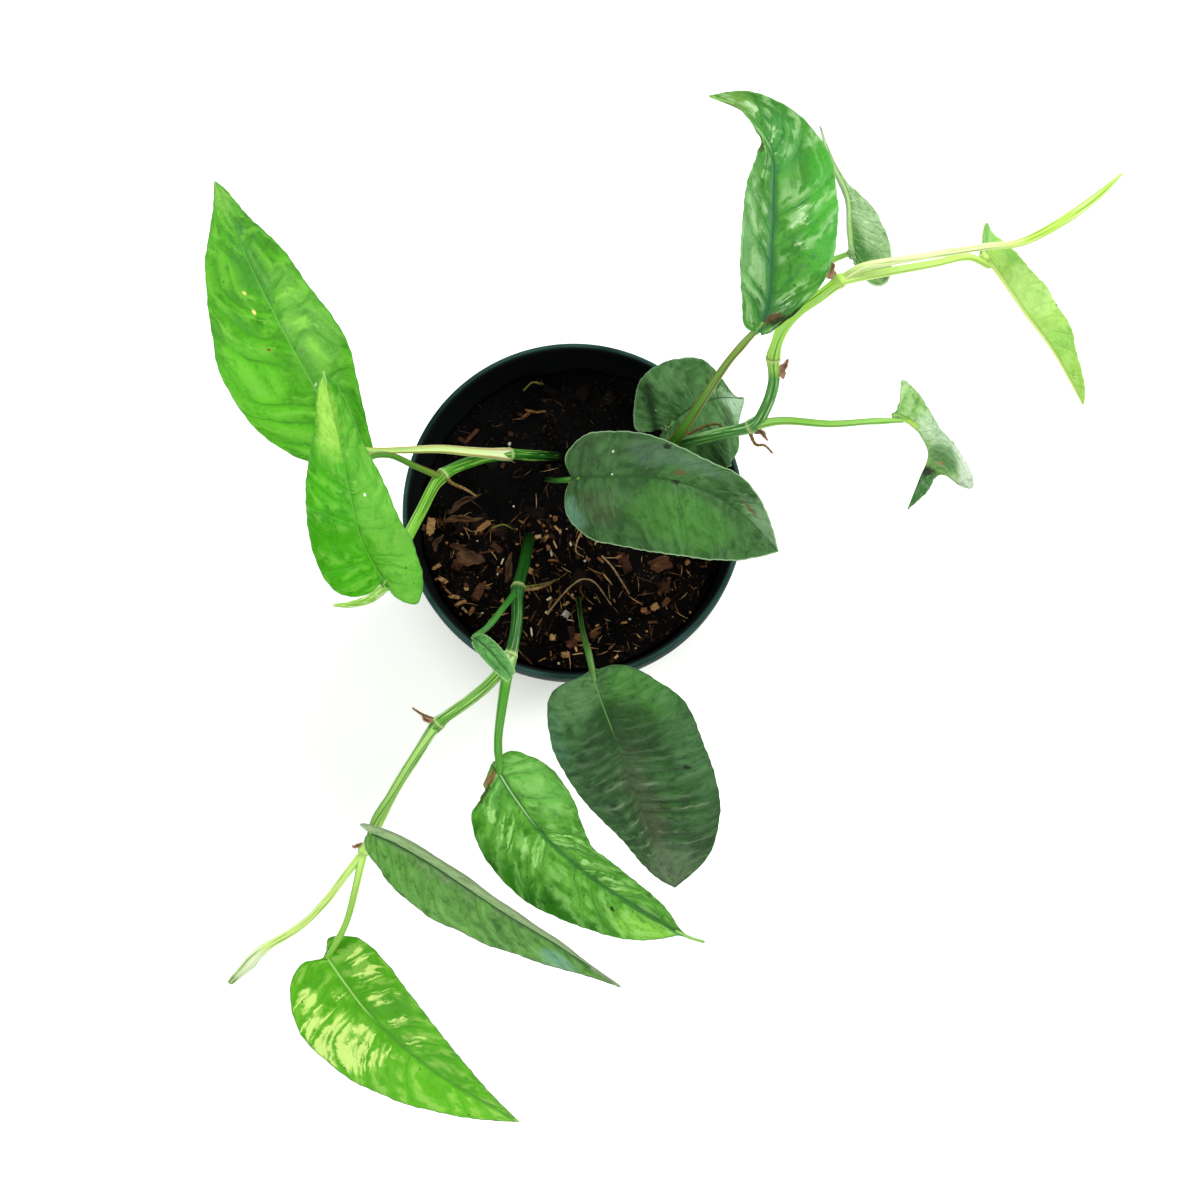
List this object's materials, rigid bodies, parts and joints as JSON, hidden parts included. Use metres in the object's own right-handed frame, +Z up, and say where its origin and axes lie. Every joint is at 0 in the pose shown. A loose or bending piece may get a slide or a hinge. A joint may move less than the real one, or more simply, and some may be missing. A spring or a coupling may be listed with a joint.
{
  "type": "potted cebu blue pothos",
  "caption": "Trailing cebu blue pothos in a round tapered nursery pot: long pointed leaves on thin vines that rise from bark soil and spill over the rim.",
  "frame": {"origin": "middle of the pot's flat underside, on the surface that the pot stands on", "axes": "+Z up along the pot's axis; -Y towards the vine that trails furthest; +X towards the vine that reaches furthest sideways"},
  "size_m": [0.2731, 0.3152, 0.161],
  "materials": {
    "pot": "satin",
    "soil": "matte",
    "vine": "satin",
    "young_leaf": "satin",
    "old_leaf": "satin",
    "new_leaf": "satin"
  },
  "bodies": {
    "root": {"pot": "pot", "soil": "soil", "vine_left": "vine", "vine_right": "vine", "vine_front": "vine", "leaf_left_back": "young_leaf", "leaf_left_front": "young_leaf", "leaf_right_top": "young_leaf", "leaf_right_back": "old_leaf", "leaf_right_low": "young_leaf", "leaf_right_curled": "old_leaf", "leaf_soil_right": "old_leaf", "leaf_soil_back": "old_leaf", "leaf_soil_front": "old_leaf", "leaf_front_small": "old_leaf", "leaf_front_middle": "young_leaf", "leaf_front_folded": "old_leaf", "leaf_front_tip": "young_leaf", "new_leaf_left": "new_leaf", "new_leaf_right": "new_leaf", "new_leaf_front": "new_leaf"}
  },
  "joints": []
}
